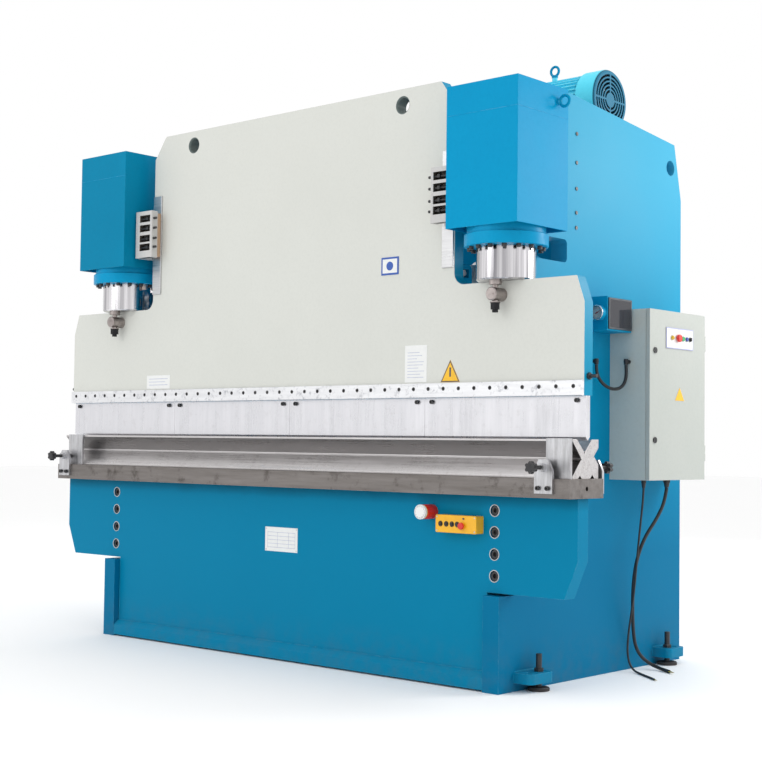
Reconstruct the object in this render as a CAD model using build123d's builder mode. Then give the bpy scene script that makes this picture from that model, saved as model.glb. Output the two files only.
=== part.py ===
from build123d import *
import math
import os

os.makedirs("parts", exist_ok=True)

# Hydraulic press brake, torsion-bar type. Millimetres, +Z up, +X to the operator's right,
# the operator stands on the -Y side. The origin is on the floor under the middle of the
# machine, and RY is where the ram's front face lies along Y.
RY = -572.85

# ---- driving dimensions ------------------------------------------------------
BED_LEN = 3200.0            # bending length
HALF = BED_LEN / 2
FRAME_IN, FRAME_T = 1163.0, 80.0   # inner face and thickness of the side frames
FRAME_OUT = FRAME_IN + FRAME_T
RAM_T = 60.0                # ram plate thickness
RAM_Z0, RAM_Z1 = 1167.0, 2486.0
NECK = 963.0                # half width of the ram's neck
SHOULDER = 1629.0
BED_TOP = 775.0
BEAM_TOP = 850.0
DIE_TOP = 1000.0
CYL_X, CYL_Y = 1205.0, 30.0
ROD_R = 121.0
BORE_R = 126.0
BARREL_R = 160.0
SHAFT_Y, SHAFT_Z = 300.0, 1690.0   # torsion shaft
ARM = 200.0                        # torsion arm length
GAP = 0.3                          # running gap between faces of moving pieces
CAB = (FRAME_OUT, 1422.0, 735.0, 1203.0, 832.0, 1565.0)
MOTOR_Y, MOTOR_Z = 950.0, 2551.0

# ---- helpers -----------------------------------------------------------------


def xy(z):
    return Plane(origin=(0, RY, z), x_dir=(1, 0, 0), z_dir=(0, 0, 1))


def xz(y):
    """Sketch plane facing the operator: local x is X, local y is Z."""
    return Plane(origin=(0, y + RY, 0), x_dir=(1, 0, 0), z_dir=(0, -1, 0))


def yz(x):
    """Sketch plane facing +X: local x is Y, local y is Z."""
    return Plane(origin=(x, RY, 0), x_dir=(0, 1, 0), z_dir=(1, 0, 0))


def cuboid(x0, x1, y0, y1, z0, z1, mode=Mode.ADD):
    with Locations(((x0 + x1) / 2, (y0 + y1) / 2 + RY, (z0 + z1) / 2)):
        Box(abs(x1 - x0), abs(y1 - y0), abs(z1 - z0), mode=mode)


def bar(p, d, r, length, mode=Mode.ADD):
    """Round bar of radius r that starts at p and runs along d."""
    with Locations(Plane(origin=(p[0], p[1] + RY, p[2]), z_dir=d)):
        Cylinder(r, length, align=(Align.CENTER, Align.CENTER, Align.MIN), mode=mode)


def taper(p, d, r0, r1, length, mode=Mode.ADD):
    with Locations(Plane(origin=(p[0], p[1] + RY, p[2]), z_dir=d)):
        Cone(r0, r1, length, align=(Align.CENTER, Align.CENTER, Align.MIN), mode=mode)


def hexa(p, d, across, length, mode=Mode.ADD):
    with BuildSketch(Plane(origin=(p[0], p[1] + RY, p[2]), z_dir=d)) as flat:
        RegularPolygon(across / 2, 6, major_radius=False)
    extrude(flat.sketch, amount=length, mode=mode)


def socket_screw(p, d, r, head, shank_r, shank):
    """Socket head cap screw: p is the seat under the head, d points out of the head."""
    bar(p, d, r, head)
    hexa((p[0] + d[0] * head * 0.45, p[1] + d[1] * head * 0.45, p[2] + d[2] * head * 0.45),
         d, r * 1.0, head, mode=Mode.SUBTRACT)
    if shank > 0:
        bar(p, (-d[0], -d[1], -d[2]), shank_r, shank)


def along_x(edges, y, z, tol=2.0):
    """Edges parallel to X that pass through (y, z) of the machine."""
    return [e for e in edges.filter_by(Axis.X)
            if abs(e.center().Y - (y + RY)) < tol and abs(e.center().Z - z) < tol]


def save(builder, label):
    builder.part.label = label
    export_step(builder.part, "parts/" + label + ".step")


# ---- structure ---------------------------------------------------------------

FRAME_OUTLINE = [(-49, 0), (-49, 380), (50, 380), (50, 775), (430, 775), (430, 1640),
                 (165, 1640), (165, 1740), (402, 1740), (402, 1837), (205, 1837),
                 (205, 2380), (400, 2460), (446, 2458), (1272, 2377), (1332, 2123),
                 (1332, 0)]
BED_BOLT_Z = (456.0, 542.0, 629.0, 715.0)
BED_BOLT_X = 1195.0
LIFT_Y, LIFT_Z, LIFT_R = 1237.0, 2264.0, 35.0

with BuildPart() as side_frame_right:
    with BuildSketch(yz(FRAME_IN)):
        with BuildLine():
            Polyline(*FRAME_OUTLINE, close=True)
        make_face()
    extrude(amount=FRAME_T)
    fillet(along_x(side_frame_right.edges(), 430, 775), 90)
    fillet(along_x(side_frame_right.edges(), 430, 1640), 70)
    fillet(along_x(side_frame_right.edges(), 402, 1740)
           + along_x(side_frame_right.edges(), 402, 1837), 20)
    bar((FRAME_IN - 5, LIFT_Y, LIFT_Z), (1, 0, 0), LIFT_R, FRAME_T + 10, mode=Mode.SUBTRACT)
    for z in BED_BOLT_Z:
        bar((BED_BOLT_X, 49, z), (0, 1, 0), 12.3, 62, mode=Mode.SUBTRACT)
save(side_frame_right, "side_frame_right")

with BuildPart() as side_frame_left:
    mirror(side_frame_right.part, about=Plane.YZ)
save(side_frame_left, "side_frame_left")

with BuildPart() as bed_plate:
    with BuildSketch(xz(-18)):
        with BuildLine():
            Polyline((-1590, 775), (1590, 775), (1590, 535), (1530, 390), (1158, 390),
                     (1158, 5), (-1158, 5), (-1158, 390), (-1530, 390), (-1590, 535),
                     close=True)
        make_face()
    extrude(amount=-68)
    for sx in (-1, 1):
        for z in BED_BOLT_Z:
            bar((sx * BED_BOLT_X, -20, z), (0, 1, 0), 12.3, 80, mode=Mode.SUBTRACT)
            bar((sx * BED_BOLT_X, -19, z), (0, 1, 0), 25, 25, mode=Mode.SUBTRACT)
save(bed_plate, "bed_plate")

with BuildPart() as bed_beam:
    cuboid(-HALF, HALF, -87, 139, BED_TOP, BEAM_TOP)
    chamfer(bed_beam.edges().filter_by(Axis.X).group_by(Axis.Z)[-1], 3)
    for sx in (-1, 1):
        bar((sx * (HALF + 1), 26, 812), (-sx, 0, 0), 9, 46, mode=Mode.SUBTRACT)
    for xc, s in ((1484, -1), (-1533, -1), (1565 - 12, 1), (-1484, 1)):
        for dx in (-22, 22):
            bar((xc + dx, -88 if s < 0 else 140, 813), (0, -s, 0), 5.2, 31,
                mode=Mode.SUBTRACT)
save(bed_beam, "bed_beam")

with BuildPart() as bottom_rail:
    with BuildSketch(yz(-FRAME_IN)):
        with BuildLine():
            Polyline((-18, 8), (-48, 8), (-48, 54), (-24, 78), (-18, 78), close=True)
        make_face()
    extrude(amount=2 * FRAME_IN)

# Floor lugs, one at each end of each side frame: a levelling screw and an anchor hole.
LUGS = ((50.0, 205.0, 155.0, 92.0), (1095.0, 1230.0, 1142.0, 1197.0))
LUG_X0, LUG_X1 = FRAME_OUT, 1332.0
SCREW_X = 1291.0
with BuildPart() as foot_lugs:
    for sx in (-1, 1):
        for y0, y1, ys, ya in LUGS:
            cuboid(sx * LUG_X0, sx * LUG_X1, y0, y1, 35, 76)
    fillet(foot_lugs.edges().filter_by(Axis.Z).filter_by(
        lambda e: abs(e.center().X) > LUG_X1 - 1), 24)
    for sx in (-1, 1):
        for y0, y1, ys, ya in LUGS:
            bar((sx * SCREW_X, ys, 30), (0, 0, 1), 12.05, 60, mode=Mode.SUBTRACT)
            bar((sx * SCREW_X, ya, 30), (0, 0, 1), 14, 60, mode=Mode.SUBTRACT)

with BuildPart() as levelling_feet:
    for sx in (-1, 1):
        for y0, y1, ys, ya in LUGS:
            bar((sx * SCREW_X, ys, 0), (0, 0, 1), 42, 14)
            bar((sx * SCREW_X, ys, 14), (0, 0, 1), 12, 132)
            hexa((sx * SCREW_X, ys, 76), (0, 0, 1), 36, 13)
save(levelling_feet, "levelling_feet")

with BuildPart() as rear_beam:
    cuboid(-FRAME_IN, FRAME_IN, 1180, 1210, 200, 700)
    cuboid(-FRAME_IN, FRAME_IN, 1080, 1210, 670, 700)
    cuboid(-FRAME_IN, FRAME_IN, 1080, 1210, 200, 230)
    for x in (-580, 0, 580):
        cuboid(x - 8, x + 8, 1085, 1185, 229, 671)

with BuildPart() as torsion_bearings:
    for sx in (-1, 1):
        cuboid(sx * 1103, sx * FRAME_IN, SHAFT_Y - 75, SHAFT_Y + 75, SHAFT_Z - 95, SHAFT_Z - 10)
        bar((sx * 1103, SHAFT_Y, SHAFT_Z), (sx, 0, 0), 75, 60)
        bar((sx * 1100, SHAFT_Y, SHAFT_Z), (sx, 0, 0), 45.08, 66, mode=Mode.SUBTRACT)

# ---- oil tank, pump set ------------------------------------------------------
TANK = (-FRAME_IN, FRAME_IN, 720.0, 1180.0, 1730.0, 2348.0)
with BuildPart() as oil_tank:
    cuboid(*TANK)
    cuboid(TANK[0] + 10, TANK[1] - 10, TANK[2] + 8, TANK[3] - 8, TANK[4] + 10, TANK[5] + 5,
           mode=Mode.SUBTRACT)
save(oil_tank, "oil_tank")

with BuildPart() as tank_lid:
    cuboid(TANK[0] + 0.3, TANK[1] - 0.3, TANK[2], TANK[3], TANK[5], TANK[5] + 12)
    bar((-420, 950, 2360.05), (0, 0, 1), 34, 13)       # filler neck and breather cap
    bar((-420, 950, 2373), (0, 0, 1), 46, 46)
    for x in (-1080, -700, -300, 300, 560):
        for y in (738, 1162):
            hexa((x, y, 2360.05), (0, 0, 1), 17, 8)

with BuildPart() as level_glass:
    cuboid(-560, -520, 1180, 1192, 2060, 2200)
    cuboid(-549, -531, 1188, 1196, 2080, 2180, mode=Mode.SUBTRACT)
    for z in (2072, 2188):
        hexa((-540, 1192, z), (0, 1, 0), 19, 7)

FINS = 36
with BuildPart() as motor_housing:
    bar((690, MOTOR_Y, MOTOR_Z), (1, 0, 0), 118, 310)
    with BuildSketch(Plane(origin=(705, MOTOR_Y + RY, MOTOR_Z), x_dir=(0, 1, 0),
                           z_dir=(1, 0, 0))) as fin_sketch:
        with PolarLocations(123, FINS):
            Rectangle(15, 4)
    extrude(fin_sketch.sketch, amount=280)
    bar((660, MOTOR_Y, MOTOR_Z), (1, 0, 0), 128, 42)
    for sx in (720, 930):
        for sy in (-1, 1):
            cuboid(sx, sx + 50, MOTOR_Y + sy * 60, MOTOR_Y + sy * 128, 2360, 2378)
            cuboid(sx + 12, sx + 38, MOTOR_Y + sy * 66, MOTOR_Y + sy * 92, 2376, 2486)
    cuboid(760, 880, MOTOR_Y - 178, MOTOR_Y - 95, 2496, 2594)      # terminal box
    cuboid(754, 886, MOTOR_Y - 186, MOTOR_Y - 174, 2490, 2600)
    bar((792, MOTOR_Y, MOTOR_Z + 110), (0, 0, 1), 13, 40)
    bar((655, MOTOR_Y, MOTOR_Z), (1, 0, 0), 24, 50, mode=Mode.SUBTRACT)
    bar((688, MOTOR_Y, MOTOR_Z), (1, 0, 0), 96, 314, mode=Mode.SUBTRACT)
save(motor_housing, "motor_housing")

with BuildPart() as motor_eye:
    with Locations(Plane(origin=(792, MOTOR_Y + RY, MOTOR_Z + 181), z_dir=(0, 1, 0))):
        Torus(22, 6)
    bar((792, MOTOR_Y, MOTOR_Z + 150), (0, 0, 1), 15, 11)

with BuildPart() as fan_cowl:
    bar((1000, MOTOR_Y, MOTOR_Z), (1, 0, 0), 139, 100)
    fillet(fan_cowl.edges().filter_by(GeomType.CIRCLE).group_by(Axis.X)[-1], 14)
    bar((999, MOTOR_Y, MOTOR_Z), (1, 0, 0), 134, 93, mode=Mode.SUBTRACT)
    for r in (34, 52, 70, 88, 106):
        with BuildSketch(Plane(origin=(1088, MOTOR_Y + RY, MOTOR_Z), x_dir=(0, 1, 0),
                               z_dir=(1, 0, 0))) as slots:
            Circle(r + 11)
            Circle(r, mode=Mode.SUBTRACT)
            Rectangle(300, 9, mode=Mode.SUBTRACT)
            Rectangle(9, 300, mode=Mode.SUBTRACT)
        extrude(slots.sketch, amount=20, mode=Mode.SUBTRACT)
save(fan_cowl, "fan_cowl")

with BuildPart() as motor_rotor:
    bar((560, MOTOR_Y, MOTOR_Z), (1, 0, 0), 19, 515)
    bar((715, MOTOR_Y, MOTOR_Z), (1, 0, 0), 90, 250)
    bar((1020, MOTOR_Y, MOTOR_Z), (1, 0, 0), 40, 46)
    with BuildSketch(Plane(origin=(1024, MOTOR_Y + RY, MOTOR_Z), x_dir=(0, 1, 0),
                           z_dir=(1, 0, 0))) as blades:
        with PolarLocations(80, 8):
            Rectangle(90, 5)
    extrude(blades.sketch, amount=38)
save(motor_rotor, "motor_rotor")

with BuildPart() as pump_unit:
    bar((520, MOTOR_Y, MOTOR_Z), (1, 0, 0), 100, 139)
    bar((515, MOTOR_Y, MOTOR_Z), (1, 0, 0), 60, 145, mode=Mode.SUBTRACT)
    bar((506, MOTOR_Y, MOTOR_Z), (1, 0, 0), 100, 14)
    cuboid(400, 506, MOTOR_Y - 62, MOTOR_Y + 62, MOTOR_Z - 70, MOTOR_Z + 70)
    cuboid(540, 640, MOTOR_Y - 90, MOTOR_Y + 90, 2360, 2466)
    cuboid(535, 645, MOTOR_Y - 64, MOTOR_Y + 64, 2451, 2646, mode=Mode.SUBTRACT)
    bar((453, MOTOR_Y, 2360), (0, 0, 1), 20, 126)

with BuildPart() as valve_block:
    cuboid(-110, 110, 630, 720, 2200, 2330)
    for x in (-70, 0, 70):
        bar((x, 675, 2330), (0, 0, 1), 24, 60)
        bar((x, 675, 2390), (0, 0, 1), 14, 20)

PIPE_R = 14.0
with BuildPart() as hydraulic_pipes:
    for sx in (-1, 1):
        with BuildLine() as route:
            FilletPolyline((sx * 110, 652 + RY, 2290), (sx * 1095, 652 + RY, 2290),
                           (sx * 1095, 176 + RY, 2290), radius=60)
        with BuildSketch(Plane(origin=(sx * 110, 652 + RY, 2290), z_dir=(sx, 0, 0))) as ring:
            Circle(PIPE_R)
        sweep(ring.sketch, path=route.line)
    with BuildLine() as pressure:
        FilletPolyline((400, MOTOR_Y + RY, MOTOR_Z + 20), (250, MOTOR_Y + RY, MOTOR_Z + 20),
                       (250, 692 + RY, MOTOR_Z + 20), (250, 692 + RY, 2250),
                       (110, 692 + RY, 2250), radius=30)
    with BuildSketch(Plane(origin=(400, MOTOR_Y + RY, MOTOR_Z + 20), z_dir=(-1, 0, 0))) as ring2:
        Circle(11)
    sweep(ring2.sketch, path=pressure.line)
save(hydraulic_pipes, "hydraulic_pipes")

# ---- cylinders ---------------------------------------------------------------
with BuildPart() as cylinders:
    for sx in (-1, 1):
        bar((sx * CYL_X, CYL_Y, 1815), (0, 0, 1), BARREL_R, 515)
        bar((sx * CYL_X, CYL_Y, 1765), (0, 0, 1), 170, 50)
        cuboid(sx * 1169, sx * 1237, 166, 205, 1850, 2300)
        cuboid(sx * 1067, sx * 1123, 150, 176, 2262, 2318)
        bar((sx * (CYL_X - 134), CYL_Y, 1737), (0, 0, 1), 11, 32)
        bar((sx * CYL_X, CYL_Y, 1800), (0, 0, 1), BORE_R, 490, mode=Mode.SUBTRACT)
        bar((sx * CYL_X, CYL_Y, 1760), (0, 0, 1), ROD_R + GAP, 60, mode=Mode.SUBTRACT)
    chamfer(cylinders.edges().filter_by(GeomType.CIRCLE).filter_by(
        lambda e: abs(e.radius - 170) < 0.1), 3)
save(cylinders, "cylinders")

with BuildPart() as flange_bolts:
    for sx in (-1, 1):
        for i in range(16):
            a = math.radians(11.25 + 22.5 * i)
            socket_screw((sx * CYL_X + 147 * math.cos(a), CYL_Y + 147 * math.sin(a), 1765),
                         (0, 0, -1), 10, 14, 6, 0)

with BuildPart() as piston_rods:
    for sx in (-1, 1):
        bar((sx * CYL_X, CYL_Y, SHOULDER), (0, 0, 1), ROD_R, 440)
        bar((sx * CYL_X, CYL_Y, 2060), (0, 0, 1), BORE_R - GAP, 70)
    chamfer(piston_rods.edges().filter_by(GeomType.CIRCLE).group_by(Axis.Z)[0], 6)
save(piston_rods, "piston_rods")

for sx, side in ((-1, "left"), (1, "right")):
    with BuildPart() as cylinder_cover:
        cuboid(sx * 1026, sx * 1381, -138, 205, 1837, 2412)
        cuboid(sx * 1030, sx * 1377, -134, 201, 1830, 2408, mode=Mode.SUBTRACT)
        cuboid(sx * 1164, sx * 1242, 190, 210, 1830, 2308, mode=Mode.SUBTRACT)
        cuboid(sx * 1062, sx * 1128, 190, 210, 2256, 2324, mode=Mode.SUBTRACT)
    save(cylinder_cover, "cylinder_cover_" + side)

with BuildPart() as cover_eyes:
    for sx in (-1, 1):
        bar((sx * 1381, 134, 2350), (sx, 0, 0), 14, 10)
        with Locations(Plane(origin=(sx * 1412, 134 + RY, 2350), z_dir=(0, 1, 0))):
            Torus(22, 6)

# ---- ram ---------------------------------------------------------------------
RAM_HALF = [(0, RAM_Z0), (HALF, RAM_Z0), (HALF, 1527), (1565, SHOULDER), (NECK, SHOULDER),
            (NECK, 2377), (883, RAM_Z1), (0, RAM_Z1)]
with BuildPart() as ram_plate:
    with BuildSketch(xz(0)):
        with BuildLine():
            Polyline(*RAM_HALF, close=True)
        make_face()
        mirror(about=Plane.YZ)
    extrude(amount=-RAM_T)
    fillet(ram_plate.edges().filter_by(Axis.Y).filter_by(
        lambda e: abs(abs(e.center().X) - NECK) < 2 and abs(e.center().Z - SHOULDER) < 2), 50)
    for sx in (-1, 1):
        bar((sx * 673, -5, 2416), (0, 1, 0), 32.5, RAM_T + 10, mode=Mode.SUBTRACT)
        taper((sx * 673, -0.5, 2416), (0, 1, 0), 38.5, 32.5, 6, mode=Mode.SUBTRACT)
save(ram_plate, "ram_plate")

SCREW_PITCH = 80.0
with BuildPart() as clamp_strip:
    cuboid(-HALF, HALF, -12, 0, RAM_Z0, 1227)
    chamfer(clamp_strip.edges().filter_by(Axis.X).group_by(Axis.Y)[0], 1.5)
    for i in range(40):
        bar((-1560 + SCREW_PITCH * i, -13, 1203), (0, 1, 0), 8.3, 14, mode=Mode.SUBTRACT)
save(clamp_strip, "clamp_strip")

PUNCH_BOLT_X = (40.0, 760.0, 840.0, 1560.0)
with BuildPart() as clamp_screws:
    for i in range(40):
        x = -1560 + SCREW_PITCH * i
        bar((x, -12.8, 1203), (0, 1, 0), 8.1, 12.8)
        hexa((x, -13.5, 1203), (0, 1, 0), 8, 5, mode=Mode.SUBTRACT)
    for sx in (-1, 1):
        for x in PUNCH_BOLT_X:
            bar((sx * x, 6.5, 1150), (0, 1, 0), 9, 9.5)
            hexa((sx * x, 6, 1150), (0, 1, 0), 8, 5, mode=Mode.SUBTRACT)

with BuildPart() as punch_segments:
    for i in range(4):
        with BuildSketch(yz(-HALF + 800 * i + 0.4)) as blade:
            with BuildLine():
                Polyline((16, RAM_Z0), (44, RAM_Z0), (44, 1009), (30.6, 995.6), (29.4, 995.6),
                         (16, 1009), close=True)
            make_face()
        extrude(blade.sketch, amount=799.2)
save(punch_segments, "punch_segments")

with BuildPart() as ram_rails:
    for sx in (-1, 1):
        cuboid(sx * 900, sx * 961, -8, 0, 1702, 2190)
    chamfer(ram_rails.edges().group_by(Axis.Y)[0], 1.5)
save(ram_rails, "ram_rails")

COUPLE_Z = 1573.0
with BuildPart() as rod_couplings:
    for sx in (-1, 1):
        bar((sx * 1208, -74, COUPLE_Z), (0, 1, 0), 27, 74)
    chamfer(rod_couplings.edges().filter_by(GeomType.CIRCLE).group_by(Axis.Y)[0], 4)
    for sx in (-1, 1):
        bar((sx * 1208, -44, 1500), (0, 0, 1), 12, 129)
        hexa((sx * 1208, -44, 1512), (0, 0, 1), 34, 26)
        bar((sx * 1208, -44, 1538), (0, 0, 1), 21, 5)
        bar((sx * 1208, -44, 1611), (0, 0, 1), 26, 18)
save(rod_couplings, "rod_couplings")

with BuildPart() as ram_links:
    for sx in (-1, 1):
        cuboid(sx * 905, sx * 930, 60, 160, 1385, 1728)
        cuboid(sx * 850, sx * 985, 60, 78, 1370, 1470)
        cuboid(sx * 904, sx * 931, 85, 138, SHAFT_Z - 18, SHAFT_Z + 18, mode=Mode.SUBTRACT)
    fillet(ram_links.edges().filter_by(Axis.X).filter_by(
        lambda e: e.center().Z > 1727), 25)
save(ram_links, "ram_links")

with BuildPart() as trip_pins:
    for sx in (-1, 1):
        bar((sx * HALF, 30, 1242), (sx, 0, 0), 7, 40)
        hexa((sx * HALF, 30, 1242), (sx, 0, 0), 24, 11)

with BuildPart() as torsion_shaft:
    bar((-1160, SHAFT_Y, SHAFT_Z), (1, 0, 0), 45, 2320)
    for sx in (-1, 1):
        bar((sx * 860, SHAFT_Y, SHAFT_Z), (sx, 0, 0), 75, 40)
        with BuildSketch(yz(sx * 900 if sx < 0 else 860)) as web:
            with BuildLine():
                Polyline((SHAFT_Y, SHAFT_Z - 62), (SHAFT_Y - ARM, SHAFT_Z - 28),
                         (SHAFT_Y - ARM, SHAFT_Z + 28), (SHAFT_Y, SHAFT_Z + 62), close=True)
            make_face()
        extrude(web.sketch, amount=40)
        bar((sx * 860, SHAFT_Y - ARM, SHAFT_Z), (sx, 0, 0), 28, 40)
        bar((sx * 895, SHAFT_Y - ARM, SHAFT_Z), (sx, 0, 0), 12, 42)
save(torsion_shaft, "torsion_shaft")

# ---- guides ------------------------------------------------------------------
GIB_Z = (1931.0, 1974.0, 2025.0, 2073.0)
with BuildPart() as gib_blocks:
    for sx in (-1, 1):
        cuboid(sx * 892, sx * 1016, -75, -38, 1880, 2110)
        cuboid(sx * 974, sx * 1016, -75, 215, 1880, 2110)
        cuboid(sx * 974, sx * FRAME_IN, 212, 292, 1885, 2105)
        for z in GIB_Z:
            cuboid(sx * 908, sx * 984, -76, -46, z - 17, z + 17, mode=Mode.SUBTRACT)
            bar((sx * 880, -61, z), (sx, 0, 0), 6.1, 40, mode=Mode.SUBTRACT)
    chamfer(gib_blocks.edges().filter_by(Axis.Z).group_by(Axis.Y)[0], 3)

with BuildPart() as gib_liners:
    for sx in (-1, 1):
        cuboid(sx * 905, sx * 958, -38, -8 - GAP, 1888, 2102)

# ---- dies --------------------------------------------------------------------
DIE_PROFILE = [(-50, 850), (-12, 850), (0, 862), (12, 850), (70, 850), (84, 864), (98, 850),
               (126, 850), (126, 904), (95, 936), (126, 968), (126, 1000), (80, 1000),
               (33, 953), (33, 946), (27, 946), (27, 953), (-20, 1000), (-50, 1000),
               (-50, 992), (6, 930), (6, 925), (12, 925), (12, 921), (6, 921), (-50, 858)]
with BuildPart() as lower_die:
    with BuildSketch(yz(-1585)):
        with BuildLine():
            Polyline(*DIE_PROFILE, close=True)
        make_face()
    extrude(amount=3170)
save(lower_die, "lower_die")

END_PLATES = ((1471.0, 1585.0), (-1545.0, -1431.0))
with BuildPart() as die_end_plates:
    for x0, x1 in END_PLATES:
        cuboid(x0, x1, -64, -50, 850, 1003)
    chamfer(die_end_plates.edges().filter_by(Axis.Z), 2)

SCREW_Z = 892.0
BRACKETS = (("front_right", 1484.0, -1), ("front_left", -1533.0, -1),
            ("rear_right", 1553.0, 1), ("rear_left", -1484.0, 1))
with BuildPart() as die_brackets:
    for name, xc, s in BRACKETS:
        face = -87.0 if s < 0 else 139.0
        with BuildSketch(xz(face if s < 0 else face + 12)) as plate:
            with BuildLine():
                Polyline((xc - 42, 792), (xc + 42, 792), (xc + 42, 880), (xc + 22, 922),
                         (xc - 22, 922), (xc - 42, 880), close=True)
            make_face()
        extrude(plate.sketch, amount=12)
        bar((xc, face + s * 12, SCREW_Z), (0, s, 0), 17, 20)
    for name, xc, s in BRACKETS:
        face = -87.0 if s < 0 else 139.0
        bar((xc, face - s * 1, SCREW_Z), (0, s, 0), 8.08, 40, mode=Mode.SUBTRACT)
        for dx in (-22, 22):
            bar((xc + dx, face - s * 1, 813), (0, s, 0), 5.2, 20, mode=Mode.SUBTRACT)

for name, xc, s in BRACKETS:
    tip = -64.0 - GAP if s < 0 else 126.0 + GAP
    with BuildPart() as die_screw:
        bar((xc, tip, SCREW_Z), (0, s, 0), 11, 8)
        bar((xc, tip + s * 7, SCREW_Z), (0, s, 0), 8, 96)
        bar((xc, tip + s * 96, SCREW_Z), (0, s, 0), 14, 12)
        bar((xc, tip + s * 100, SCREW_Z), (0, s, 0), 18, 22)
        for i in range(6):
            a = math.radians(60 * i + 30)
            bar((xc + 17 * math.cos(a), tip + s * 101, SCREW_Z + 17 * math.sin(a)),
                (0, s, 0), 7, 20)
    save(die_screw, "die_screw_" + name)

# All black socket screws of the frame share one node.
with BuildPart() as frame_bolts:
    for sx in (-1, 1):
        for z in BED_BOLT_Z:
            socket_screw((sx * BED_BOLT_X, 6, z), (0, -1, 0), 18, 20, 12, 90)
        for z in GIB_Z:
            bar((sx * 874, -61, z), (sx, 0, 0), 6, 109.9)
            hexa((sx * 926, -61, z), (sx, 0, 0), 22, 13)
        for z in (1895, 1959, 2061, 2172, 2295):
            bar((sx * FRAME_OUT, 468, z), (sx, 0, 0), 8, 4)
    for name, xc, s in BRACKETS:
        for dx in (-22, 22):
            socket_screw((xc + dx, -99 if s < 0 else 151, 813), (0, s, 0), 9, 10, 5, 34)

# ---- back gauge --------------------------------------------------------------
with BuildPart() as backgauge_rails:
    for sx in (-1, 1):
        cuboid(sx * 670, sx * 750, 50, 1205, 700, 774.5)
        cuboid(sx * 690, sx * 730, 150, 1180, 774, 800)
    cuboid(-671, 671, 1010, 1050, 705, 870)
    cuboid(-671, 671, 146, 186, 705, 770)
    cuboid(-50, 50, 146, 186, 765, 875)
    bar((0, 146, 840), (0, 1, 0), 12.58, 910, mode=Mode.SUBTRACT)
    bar((0, 1050, 840), (0, 1, 0), 45, 110)
    bar((0, 1049, 840), (0, 1, 0), 14, 30, mode=Mode.SUBTRACT)
save(backgauge_rails, "backgauge_rails")

with BuildPart() as backgauge_beam:
    cuboid(-1000, 1000, 420, 500, 880, 960)
    for sx in (-1, 1):
        cuboid(sx * 668, sx * 752, 400, 520, 800 + GAP, 881)
        cuboid(sx * (730 + GAP), sx * 752, 400, 520, 782, 812)
        cuboid(sx * 668, sx * (690 - GAP), 400, 520, 782, 812)
    cuboid(-42, 42, 425, 495, 805, 881)
    bar((0, 424, 840), (0, 1, 0), 12.58, 72, mode=Mode.SUBTRACT)
save(backgauge_beam, "backgauge_beam")

with BuildPart() as lead_screw:
    bar((0, 148, 840), (0, 1, 0), 12.5, 914)
save(lead_screw, "lead_screw")

for sx, side in ((-1, "left"), (1, "right")):
    with BuildPart() as finger:
        cuboid(sx * 370, sx * 430, 385, 420 - GAP, 890, 1030)
        cuboid(sx * 370, sx * 430, 385, 500, 960 + GAP, 1000)
        cuboid(sx * 380, sx * 420, 200, 386, 1006, 1030)
        cuboid(sx * 375, sx * 425, 200, 222, 1004, 1036)
    save(finger, "gauge_finger_" + side)

# ---- electrical cabinet ------------------------------------------------------
CX0, CX1, CY0, CY1, CZ0, CZ1 = CAB
with BuildPart() as cabinet_body:
    cuboid(CX0, CX1, CY0, CY1, CZ0, CZ1)
    cuboid(CX0 + 3, CX1 + 5, CY0 + 3, CY1 - 3, CZ0 + 3, CZ1 - 3, mode=Mode.SUBTRACT)
    for z in (950, 1440):
        bar((1436, 1209, z), (0, 0, 1), 6, 34)
        cuboid(1396, 1436, CY1, CY1 + 5, z, z + 34)
    bar((1378, 985, 825), (0, 0, 1), 9, 12, mode=Mode.SUBTRACT)
    bar((1381, 790, 825), (0, 0, 1), 6, 12, mode=Mode.SUBTRACT)
    bar((1339, 730, 1339), (0, 1, 0), 9, 12, mode=Mode.SUBTRACT)
save(cabinet_body, "cabinet_body")

LOCK_Y = 776.0
LOCKS = (("upper", 1388.0), ("lower", 1004.0))
with BuildPart() as cabinet_door:
    cuboid(1424, 1442, CY0, CY1, CZ0, CZ1)
    cuboid(1420, 1439, CY0 + 3, CY1 - 3, CZ0 + 3, CZ1 - 3, mode=Mode.SUBTRACT)
    for z in (914.5, 1404.5):
        bar((1436, 1209, z), (0, 0, 1), 6, 34)
        cuboid(1430, 1442, CY1 - 1, CY1 + 6, z, z + 34)
    cuboid(1441, 1444, 868, 1092, 1405, 1492)                # button plate
    with BuildSketch(yz(1442)) as warn:
        with BuildLine():
            Polyline((944, 1178), (1020, 1178), (982, 1234), close=True)
        make_face()
    extrude(warn.sketch, amount=1.2)
    for name, z in LOCKS:
        bar((1430, LOCK_Y, z), (1, 0, 0), 10.1, 20, mode=Mode.SUBTRACT)
    for y in (960.0, 1004.0):
        bar((1430, y, 1450), (1, 0, 0), 8.2, 20, mode=Mode.SUBTRACT)
    for y in (912.0, 1036.0, 1064.0):
        bar((1443, y, 1450), (1, 0, 0), 9, 7)
save(cabinet_door, "cabinet_door")

for name, z in LOCKS:
    with BuildPart() as lock:
        bar((1408, LOCK_Y, z), (1, 0, 0), 10, 37)
        bar((1442 + GAP, LOCK_Y, z), (1, 0, 0), 13, 5)
        cuboid(1408, 1412, LOCK_Y - 34, LOCK_Y + 8, z - 8, z + 8)
        cuboid(1446, 1449, LOCK_Y - 1.5, LOCK_Y + 1.5, z - 7, z + 7, mode=Mode.SUBTRACT)
    save(lock, "door_lock_" + name)

with BuildPart() as door_estop:
    bar((1426, 960, 1450), (1, 0, 0), 8, 26)
    bar((1450, 960, 1450), (1, 0, 0), 17, 11)
    fillet(door_estop.edges().filter_by(GeomType.CIRCLE).group_by(Axis.X)[-1], 4)
save(door_estop, "door_estop")

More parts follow.
